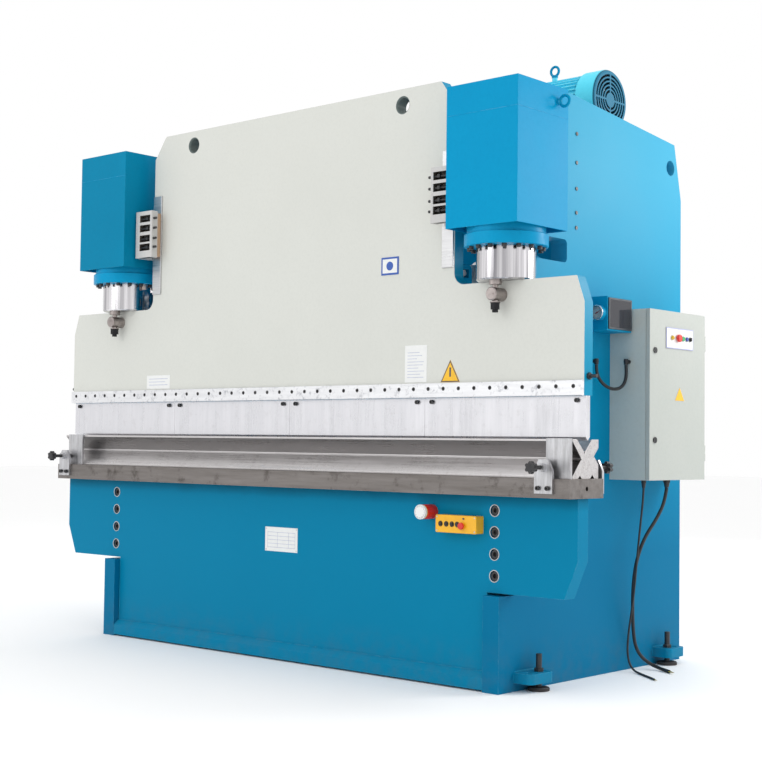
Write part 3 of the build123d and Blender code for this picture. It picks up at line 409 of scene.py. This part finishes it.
# which material each carried-over CAD node gets
NODE = {
    "side_frame_left": "side_blue_sheen_shade", "side_frame_right": "side_blue_sheen_shade", "bed_plate": "bed_blue_beam_shadow",
    "base_plates": "blue", "cross_members": "blue", "oil_tank": "blue", "cylinders": "blue_cyl",
    "cylinder_cover_left": "shaded_blue_cover_l", "cylinder_cover_right": "blue_cover",
    "torsion_shaft": "zinc", "ram_links": "blue", "backgauge_rails": "blue",
    "ram_plate": "cream", "cabinet_body": "cabinet", "cabinet_door": "door",
    "mounting_plate": "zinc", "motor_housing": "motor", "fan_cowl": "cowl",
    "motor_rotor": "blackplastic", "tank_fittings": "blue", "pump_and_valves": "zinc",
    "hydraulic_pipes": "zinc", "lifting_eyes": "blue", "machine_screws": "black",
    "ram_fasteners": "black", "levelling_feet": "black", "clamp_strip": "strip",
    "punch_segments": "punch", "lower_die": "die", "bed_beam": "beam", "die_fittings": "plate",
    "ram_rails": "steel", "ram_guides": "gib", "rod_couplings": "coupling",
    "piston_rods": "chrome", "gauge_finger_left": "steel", "gauge_finger_right": "steel",
    "lead_screw": "steel", "backgauge_beam": "steel", "door_lock_upper": "black",
    "door_lock_lower": "black", "door_estop": "red", "door_start": "green",
    "box_button_1": "blackplastic", "box_button_2": "blackplastic",
    "box_button_3": "blackplastic", "box_button_4": "blackplastic", "box_estop": "red",
    "dial_knob": "white", "gauge_needle": "red", "bed_controls": "yellow",
    "gauge_box_and_gauge": "blue", "cable_glands": "blackplastic",
    "die_screw_front_left": "black", "die_screw_front_right": "black",
    "die_screw_rear_left": "black", "die_screw_rear_right": "black",
}
BEVEL = {"ram_plate": 2.0, "bed_plate": 2.0, "side_frame_left": 2.0, "side_frame_right": 2.0,
         "cylinder_cover_left": 1.6, "cylinder_cover_right": 1.6, "cabinet_body": 1.2,
         "cabinet_door": 1.6, "bed_beam": 1.5, "lower_die": 0.8, "oil_tank": 2.0,
         "base_plates": 2.0, "clamp_strip": 0.4, "punch_segments": 0.4, "machine_screws": 0.6,
         "gauge_needle": 0.1, "ram_fasteners": 0.5, "cross_members": 1.5,
         "backgauge_rails": 1.5, "backgauge_beam": 1.2, "ram_guides": 0.8, "motor_housing": 0.8,
         "fan_cowl": 0.6, "die_fittings": 0.8, "gauge_box_and_gauge": 0.8, "bed_controls": 0.4}
NODES = frame["nodes"]


def node_object(name):
    o = NODES[name] if isinstance(NODES, dict) else None
    if isinstance(o, bpy.types.Object):
        return o
    return bpy.data.objects.get(name)


for name, key in NODE.items():
    o = node_object(name)
    if o is None:
        print("no object for", name)
        continue
    o.data.materials.clear()
    o.data.materials.append(M[key])
    w = BEVEL.get(name, 0.5)
    for a in ("custom_normal", "sharp_edge", "sharp_face"):
        if a in o.data.attributes:
            o.data.attributes.remove(o.data.attributes[a])
    o.data.shade_smooth()
    md = o.modifiers.new("weld", "WELD")
    md.merge_threshold = 0.00001
    md = o.modifiers.new("planar", "DECIMATE")
    md.decimate_type = "DISSOLVE"
    md.angle_limit = math.radians(0.6)
    md = o.modifiers.new("edge", "BEVEL")
    md.width = w / 1000
    md.segments = 2
    md.limit_method = "ANGLE"
    md.angle_limit = math.radians(28)
    md.harden_normals = False
    md.use_clamp_overlap = True
    md = o.modifiers.new("normals", "WEIGHTED_NORMAL")
    md.keep_sharp = False


# ------------------------------------------------------------------ mesh tools
class Mesh:
    """Collects solids in millimetres of the machine and turns them into one Blender object."""

    def __init__(self):
        self.bm = bmesh.new()

    def box(self, x0, x1, y0, y1, z0, z1):
        v = [self.bm.verts.new(P(x, y, z)) for z in (z0, z1)
             for x, y in ((x0, y0), (x1, y0), (x1, y1), (x0, y1))]
        for f in ((3, 2, 1, 0), (4, 5, 6, 7), (0, 1, 5, 4), (1, 2, 6, 5), (2, 3, 7, 6),
                  (3, 0, 4, 7)):
            self.bm.faces.new([v[i] for i in f])
        return self

    def lathe(self, p, d, profile, segs=48):
        """profile: (radius, height along d) pairs; closed at the axis when radius is 0."""
        d = Vector(d).normalized()
        a = d.orthogonal().normalized()
        c = d.cross(a)
        o = P(*p)
        rings = []
        for r, h in profile:
            if r < 1e-6:
                rings.append([self.bm.verts.new(o + d * (h / 1000))])
            else:
                rings.append([self.bm.verts.new(
                    o + d * (h / 1000) + (a * math.cos(t) + c * math.sin(t)) * (r / 1000))
                    for t in (2 * math.pi * i / segs for i in range(segs))])
        for r0, r1 in zip(rings, rings[1:]):
            for i in range(segs):
                j = (i + 1) % segs
                if len(r0) == 1 and len(r1) == 1:
                    continue
                if len(r0) == 1:
                    self.bm.faces.new((r0[0], r1[i], r1[j]))
                elif len(r1) == 1:
                    self.bm.faces.new((r0[i], r1[0], r0[j]))
                else:
                    self.bm.faces.new((r0[i], r1[i], r1[j], r0[j]))
        return self

    def prism(self, pts, vec):
        """pts: machine points of a planar outline; vec: extrusion in mm."""
        v0 = [self.bm.verts.new(P(*p)) for p in pts]
        v1 = [self.bm.verts.new(P(p[0] + vec[0], p[1] + vec[1], p[2] + vec[2])) for p in pts]
        self.bm.faces.new(v0)
        self.bm.faces.new(list(reversed(v1)))
        n = len(pts)
        for i in range(n):
            j = (i + 1) % n
            self.bm.faces.new((v0[j], v0[i], v1[i], v1[j]))
        return self

    def bead(self, pts, r, step=7.0, seed=1):
        """Weld bead: a rippled half-round run along a polyline."""
        rnd = random.Random(seed)
        path = []
        for a, b in zip(pts, pts[1:]):
            a, b = Vector(a), Vector(b)
            n = max(2, int((b - a).length / step))
            path += [a.lerp(b, i / n) for i in range(n)]
        path.append(Vector(pts[-1]))
        rings = []
        for i, p in enumerate(path):
            t = (path[min(i + 1, len(path) - 1)] - path[max(i - 1, 0)]).normalized()
            a = t.orthogonal().normalized()
            c = t.cross(a)
            k = r * (0.86 + 0.22 * (i % 2) + rnd.uniform(-0.08, 0.08))
            if i in (0, len(path) - 1):
                k *= 0.45
            rings.append([self.bm.verts.new(P(*(p + (a * math.cos(q) + c * math.sin(q)) * k)))
                          for q in (2 * math.pi * j / 8 for j in range(8))])
        for r0, r1 in zip(rings, rings[1:]):
            for j in range(8):
                k = (j + 1) % 8
                self.bm.faces.new((r0[j], r0[k], r1[k], r1[j]))
        self.bm.faces.new(list(reversed(rings[0])))
        self.bm.faces.new(rings[-1])
        return self

    def done(self, name, mat, body, bevel=0.0, segs=2, smooth=True, sub=0):
        bmesh.ops.recalc_face_normals(self.bm, faces=self.bm.faces)
        me = bpy.data.meshes.new(name)
        self.bm.to_mesh(me)
        self.bm.free()
        o = bpy.data.objects.new(name, me)
        bpy.context.scene.collection.objects.link(o)
        me.materials.append(M[mat])
        if smooth:
            me.shade_smooth()
            me.set_sharp_from_angle(angle=math.radians(35))
        if bevel:
            md = o.modifiers.new("edge", "BEVEL")
            md.width = bevel / 1000
            md.segments = segs
            md.limit_method = "ANGLE"
            md.angle_limit = math.radians(35)
        if sub:
            md = o.modifiers.new("sub", "SUBSURF")
            md.levels = md.render_levels = sub
        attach(o, body)
        return o


# ------------------------------------------------------------------ camera, light, floor
def camera():
    az, pitch, roll = math.radians(41.73), math.radians(2.47), math.radians(0.7)
    fw = Vector((-math.sin(az) * math.cos(pitch), math.cos(az) * math.cos(pitch), math.sin(pitch)))
    rt0 = Vector((math.cos(az), math.sin(az), 0))
    up0 = rt0.cross(fw)
    rt = rt0 * math.cos(roll) + up0 * math.sin(roll)
    up = rt0 * -math.sin(roll) + up0 * math.cos(roll)
    cam = bpy.data.objects.new("camera", bpy.data.cameras.new("camera"))
    bpy.context.scene.collection.objects.link(cam)
    cam.data.lens = 68.665
    cam.data.sensor_width = 36
    cam.data.clip_end = 200
    m = Matrix((rt, up, -fw)).transposed().to_4x4()
    m.translation = P(4697.35, -4630.61, 974.37)
    cam.matrix_world = m
    bpy.context.scene.camera = cam


def light(name, at, look, size, power, col=(1, 1, 1)):
    d = bpy.data.lights.new(name, "AREA")
    d.shape = "RECTANGLE"
    d.size, d.size_y = size
    d.energy = power
    d.color = col
    o = bpy.data.objects.new(name, d)
    bpy.context.scene.collection.objects.link(o)
    o.location = at
    o.rotation_euler = (Vector(look) - Vector(at)).to_track_quat("-Z", "Y").to_euler()


camera()
light("key", (-2.5, -8.0, 4.6), (0, -0.5, 1.2), (5, 4), 95)
light("side", (8.0, 1.5, 3.6), (1.2, 0.2, 1.4), (5, 4), 22)
light("top", (0.5, -0.5, 7.0), (0, 0, 1), (7, 5), 60)
light("rear", (-3, 7.5, 4.0), (0, 0.5, 1.2), (6, 4), 60)
light("sheen", (3.05, 2.15, 2.55), (1.24, 0.25, 1.95), (1.5, 1.2), 46)
world = bpy.data.worlds.new("studio")
world.use_nodes = True
bg = world.node_tree.nodes["Background"]
bg.inputs[0].default_value = (1, 1, 1, 1)
bg.inputs[1].default_value = 1.0
bpy.context.scene.world = world
bpy.context.scene.view_settings.view_transform = "Standard"
bpy.context.scene.view_settings.look = "None"

m, nt, b = tree("floor_pale")
nt.links.new(mixc(nt, noise(nt, objco(nt), 2, 3, 0.5), (0.955, 0.955, 0.955), (0.97, 0.97, 0.97)),
             b.inputs["Base Color"])
b.inputs["Roughness"].default_value = 0.8
me = bpy.data.meshes.new("floor")
me.from_pydata([(-40, -40, 0), (40, -40, 0), (40, 40, 0), (-40, 40, 0)], [], [(0, 1, 2, 3)])
me.materials.append(m)
floor = bpy.data.objects.new("floor", me)
bpy.context.scene.collection.objects.link(floor)

# ------------------------------------------------------------------ cords
CONDUIT = [(1275, 580, 1321), (1274, 582, 1290), (1281, 596, 1256), (1295, 624, 1229),
           (1313, 658, 1217), (1331, 688, 1226), (1341, 704, 1254), (1343, 709, 1290),
           (1341, 708, 1324)]
MAINS = [(1378, 985, 796.5), (1377, 974, 738), (1364, 925, 660), (1344, 862, 585),
         (1322, 832, 490), (1302, 836, 380), (1286, 858, 275), (1274, 882, 185),
         (1268, 906, 112), (1275, 932, 64), (1303, 953, 31), (1346, 960, 13.5),
         (1391, 945, 7.9), (1432, 921, 7.7)]
EARTH = [(1381, 790, 797.4), (1380, 787, 745), (1374, 780, 660), (1364, 778, 560),
         (1346, 790, 455), (1325, 808, 350), (1302, 822, 250), (1284, 829, 165),
         (1277, 832, 98), (1282, 832, 52), (1299, 828, 22), (1327, 817, 7),
         (1362, 797, 4.9), (1402, 766, 4.8), (1448, 735, 4.7), (1490, 703, 4.7)]


def cord_curve(name, pts, dia, mat):
    cu = bpy.data.curves.new(name, "CURVE")
    cu.dimensions = "3D"
    sp = cu.splines.new("NURBS")
    sp.points.add(len(pts) - 1)
    for q, p in zip(sp.points, pts):
        q.co = (*P(*p), 1)
    sp.order_u = 3
    sp.use_endpoint_u = True
    cu.resolution_u = 14
    cu.bevel_depth = dia / 2000
    cu.bevel_resolution = 7
    cu.use_fill_caps = True
    o = bpy.data.objects.new(name, cu)
    bpy.context.scene.collection.objects.link(o)
    cu.materials.append(M[mat])
    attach(o, "frame")
    return o


conduit = cord_curve("conduit_hose", CONDUIT, 14, "rubber")
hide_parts("conduit")


def cores(name, pts, spread, core_r, n, length):
    """Stripped cores with ferrules at the bare end of a lead."""
    a, c = Vector(pts[-2]), Vector(pts[-1])
    d = (c - a).normalized()
    side = d.cross(Vector((0, 0, 1))).normalized()
    ins, fer = Mesh(), Mesh()
    for i in range(n):
        off = (i - (n - 1) / 2) * spread
        p = c + side * off - d * 2
        dd = (d + side * off * 0.012).normalized()
        ins.lathe(p, dd, [(0, 0), (core_r, 0), (core_r, length * 0.62), (core_r * 0.8, length * 0.63),
                          (0, length * 0.63)], 16)
        fer.lathe(p, dd, [(0, length * 0.6), (core_r * 0.62, length * 0.6), (core_r * 0.62, length),
                          (0, length)], 16)
    return [ins.done(name + "_cores", "ochre", "frame"), fer.done(name + "_ferrules", "brass", "frame")]


mains = cord_curve("mains_cable", MAINS, 15, "rubber")
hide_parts("mains_lead")
mc = cores("mains", MAINS, 3.9, 1.9, 3, 34)
earth = cord_curve("earth_cable", EARTH, 9, "rubber")
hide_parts("earth_lead")
ec = cores("earth", EARTH, 3.0, 1.3, 2, 26)

# ------------------------------------------------------------------ labels and plates
lab = Mesh()
lab.box(702, 822, -0.9, 0.05, 1232, 1388)
lab.box(-997, -821, -0.9, 0.05, 1232, 1299)
lab.done("ram_paper_labels", "label", "ram", 0.25)
lines = Mesh()
for i in range(9):
    lines.box(716, 716 + (88, 70, 92, 60, 84, 90, 52, 80, 66)[i], -1.1, -0.85, 1252 + 13 * i, 1254.4 + 13 * i)
for i in range(3):
    lines.box(-980, -838 - 20 * (i % 2), -1.1, -0.85, 1250 + 15 * i, 1253 + 15 * i)
lines.done("label_rules", "faint", "ram")
tri = Mesh()
tri.prism([(897, -1.2, 1230), (998, -1.2, 1230), (947.5, -1.2, 1322)], (0, 1.25, 0))
tri.done("ram_triangle", "warn", "ram", 0.4)
tr2 = Mesh()
for a, c2 in (((899, 1231.2), (996, 1231.2)), ((996, 1231.2), (947.5, 1320)), ((947.5, 1320), (899, 1231.2))):
    a, c2 = Vector((a[0], a[1])), Vector((c2[0], c2[1]))
    cen = Vector((947.5, 1260))
    ia, ic = a.lerp(cen, 0.13), c2.lerp(cen, 0.13)
    tr2.prism([(a.x, -1.6, a.y), (c2.x, -1.6, c2.y), (ic.x, -1.6, ic.y), (ia.x, -1.6, ia.y)], (0, 0.5, 0))
tr2.box(943.5, 951.5, -1.6, -1.1, 1252, 1290)
tr2.done("ram_triangle_border", "ink", "ram")
sq = Mesh()
sq.box(563, 661, -2.2, 0.05, 1694, 1770)
sq.done("ram_square_plate", "inkblue", "ram", 0.5)
sq = Mesh()
sq.box(571, 653, -2.8, -2.1, 1702, 1762)
sq.done("ram_square_face", "label", "ram", 0.3)
sq = Mesh()
sq.lathe((612, -2.7, 1732), (0, -1, 0), [(0, 0), (19, 0), (19, 0.5), (0, 0.5)], 40)
sq.done("ram_square_mark", "inkblue", "ram")

plate = Mesh()
plate.box(-110, 97, -19.6, -17.95, 483, 592)
plate.done("bed_label", "label", "frame", 0.4)
pl = Mesh()
for i in range(5):
    pl.box(-94, 82, -19.9, -19.5, 500 + 17 * i, 502 + 17 * i)
for x in (-94, -30, 40, 81):
    pl.box(x, x + 1.6, -19.9, -19.5, 500, 570)
pl.done("bed_label_rules", "faint", "frame")
pl = Mesh()
for x in (-103, 90):
    for z in (490, 585):
        pl.lathe((x, -19.4, z), (0, -1, 0), [(3.4, 0), (3.4, 0.8), (2.4, 1.7), (0, 2.1)], 20)
pl.done("bed_label_rivets", "zinc", "frame")

# ------------------------------------------------------------------ welds
w = Mesh()
for sx in (-1, 1):
    X = 1243 * sx
    w.bead([(sx * 1158, -16, 20), (sx * 1158, -16, 388)], 4, seed=3)
    w.bead([(X, 52, 392), (X, 52, 770)], 4.5, seed=4)
    for y0, y1 in ((50, 205), (1095, 1230)):
        w.bead([(X, y0 + 4, 77), (X, y1 - 4, 77)], 4.5, seed=5)
        w.bead([(X, y0 + 2, 37), (X, y0 + 2, 74)], 4, seed=6)
        w.bead([(X, y1 - 2, 37), (X, y1 - 2, 74)], 4, seed=7)
    w.bead([(sx * 1162, 720, 1736), (sx * 1162, 720, 2344)], 4, seed=8)
    w.bead([(sx * 1162, 1180, 1736), (sx * 1162, 1180, 2344)], 4, seed=9)
    w.bead([(sx * 1162, 1211, 204), (sx * 1162, 1211, 696)], 4, seed=10)
w.bead([(-1155, -19, 79), (1155, -19, 79)], 3.2, step=9, seed=11)
w.done("weld_beads", "blue", "frame")

rim = Mesh()
for sx in (-1, 1):
    for z in (456, 542, 629, 715):
        rim.lathe((sx * 1195, -17.9, z), (0, -1, 0),
                  [(21.2, 0), (24.6, 0), (24.6, 0.5), (23.8, 1.0), (21.6, 0.8), (21.2, 0.3), (21.2, 0)], 48)
rim.done("bed_bolt_rims", "steel", "frame")

# ------------------------------------------------------------------ cylinder covers
for sx, side in ((-1, "left"), (1, "right")):
    f = Mesh()
    f.box(sx * 1025.6, sx * 1381.7, -138.7, -137.9, 2290, 2291.4)
    f.box(sx * 1380.9, sx * 1381.7, -138.7, 204, 2290, 2291.4)
    f.done("cover_fold_" + side, "blue_cover", "frame", 0.2)

# ------------------------------------------------------------------ pressure gauge
g = Mesh()
g.lathe((1325, 507.9, 1535), (0, -1, 0), [(0, 0), (27, 0), (27, 0.6), (0, 0.6)], 64)
g.done("gauge_dial", "white", "frame")
g = Mesh()
for i in range(28):
    a = math.radians(-135 + 10 * i)
    r0 = 19.5 if i % 3 == 0 else 21.8
    ux, uz = math.sin(a), math.cos(a)
    px, pz = uz, -ux
    wd = 0.7 if i % 3 == 0 else 0.4
    g.prism([(1325 + ux * r0 + px * wd, 507.0, 1535 + uz * r0 + pz * wd),
             (1325 + ux * 24.5 + px * wd, 507.0, 1535 + uz * 24.5 + pz * wd),
             (1325 + ux * 24.5 - px * wd, 507.0, 1535 + uz * 24.5 - pz * wd),
             (1325 + ux * r0 - px * wd, 507.0, 1535 + uz * r0 - pz * wd)], (0, 0.35, 0))
g.done("gauge_scale", "ink", "frame")
g = Mesh()
g.lathe((1325, 503, 1535), (0, -1, 0), [(27.3, 0), (32.5, 0), (33, 1.2), (33, 3.6), (31, 5), (27.5, 5), (26.8, 3.6), (27.3, 0)], 64)
g.done("gauge_bezel", "bright", "frame")
g = Mesh()
g.lathe((1325, 502.4, 1535), (0, -1, 0), [(0, 0), (27, 0), (27, 1.2), (0, 1.6)], 64)
g.done("gauge_glass", "glass", "frame")
g = Mesh()
g.box(1359.6, 1366, 537, 714, 1468, 1476)
g.box(1359.6, 1366, 537, 714, 1592, 1600)
g.box(1359.6, 1366, 537, 545, 1476, 1592)
g.box(1359.6, 1366, 706, 714, 1476, 1592)
g.done("gauge_window_frame", "grille", "frame", 0.8)
g = Mesh()
g.box(1365.0, 1365.8, 545, 706, 1476, 1592)
g.done("gauge_window", "darkglass", "frame", 0.2)

# ------------------------------------------------------------------ cabinet details
c = Mesh()
c.box(1422.2, 1424, 737, 1201, 834, 840)
c.box(1422.2, 1424, 737, 1201, 1557, 1563)
c.box(1422.2, 1424, 737, 743, 840, 1557)
c.box(1422.2, 1424, 1195, 1201, 840, 1557)
c.done("door_gasket", "gasket", "frame", 0.3)
c = Mesh()
c.box(1443.6, 1445.2, 870, 1090, 1407, 1490)
c.done("door_button_plate", "white", "cabinet_door", 0.6)
c = Mesh()
for y0, y1, z0, z1 in ((866, 1094, 1403, 1407.5), (866, 1094, 1489.5, 1494), (866, 870.5, 1407, 1490), (1089.5, 1094, 1407, 1490)):
    c.box(1443.0, 1445.8, y0, y1, z0, z1)
c.done("door_button_frame", "lilac", "cabinet_door", 0.5)
c = Mesh()
for y in (912, 1004, 1036, 1064):
    ri = 10.8 if y == 1004 else 9.5
    c.lathe((1445.0, y, 1450), (1, 0, 0), [(ri, 0), (12.5, 0), (12.5, 1.2), (11.9, 2), (ri, 2), (ri, 0)], 40)
c.done("door_bezels", "zinc", "cabinet_door")
c = Mesh()
c.lathe((1445.0, 912, 1450), (1, 0, 0), [(9.2, 0), (9.2, 7), (7.5, 9.5), (4, 11), (0, 11.4)], 40)
c.done("door_lamp_yellow", "lamp", "cabinet_door")
c = Mesh()
c.lathe((1445.0, 1036, 1450), (1, 0, 0), [(9.2, 0), (9.2, 5.6), (8, 6.6), (0, 6.9)], 40)
c.done("door_button_blue", "bluebtn", "cabinet_door")
c = Mesh()
c.lathe((1445.0, 1064, 1450), (1, 0, 0), [(9.2, 0), (9.2, 5.0), (8.4, 6), (0, 6)], 40)
c.box(1450.8, 1456, 1062, 1066, 1442, 1458)
c.done("door_selector", "blackplastic", "cabinet_door", 0.4)
c = Mesh()
c.prism([(1442.6, 944, 1178), (1442.6, 1020, 1178), (1442.6, 982, 1234)], (0.8, 0, 0))
c.done("door_triangle", "warn", "cabinet_door", 0.2)

# ------------------------------------------------------------------ operator's box
q = Mesh()
for x in (939, 1132):
    for z in (628, 683):
        q.lathe((x, -66, z), (0, -1, 0), [(3.4, -0.3), (3.4, 0.8), (2.6, 1.6), (0, 1.9)], 20)
q.done("box_screws", "zinc", "frame")
q = Mesh()
for x in (958, 988, 1017, 1044):
    q.lathe((x, -66, 655), (0, -1, 0), [(8.2, -0.2), (11.2, -0.2), (11.2, 1.4), (10.2, 2.2), (8.2, 2.2), (8.2, -0.2)], 32)
q.done("box_bezels", "blackplastic", "frame")
q = Mesh()
q.lathe((1078, -68.6, 679), (0, -1, 0), [(4.2, 0), (4.2, 1.5), (2.6, 3), (0, 3.4)], 24)
q.done("box_lamp", "ink", "frame")
q = Mesh()
q.lathe((876, -20, 699), (0, -1, 0), [(29.5, 0), (30.2, 0.5), (30.2, 60), (29.0, 63.2), (10, 63.2)], 56)
q.done("dial_body", "red", "frame")
q = Mesh()
for i in range(36):
    a = math.radians(10 * i)
    ux, uz = math.sin(a), math.cos(a)
    px, pz = uz, -ux
    r0 = 21 if i % 3 == 0 else 24
    q.prism([(876 + ux * r0 + px * 0.5, -100.4, 699 + uz * r0 + pz * 0.5),
             (876 + ux * 27 + px * 0.5, -100.4, 699 + uz * 27 + pz * 0.5),
             (876 + ux * 27 - px * 0.5, -100.4, 699 + uz * 27 - pz * 0.5),
             (876 + ux * r0 - px * 0.5, -100.4, 699 + uz * r0 - pz * 0.5)], (0, 0.5, 0))
q.done("dial_marks", "ink", "dial_knob")

# ------------------------------------------------------------------ levelling pads
q = Mesh()
for sx in (-1, 1):
    for y in (155, 1142):
        q.lathe((sx * 1291, y, 0.2), (0, 0, 1), [(0, 0), (41, 0), (44, 1.5), (44, 10), (40, 14), (20, 15.5), (12.6, 15.5)], 48)
q.done("levelling_pads", "pad", "frame")
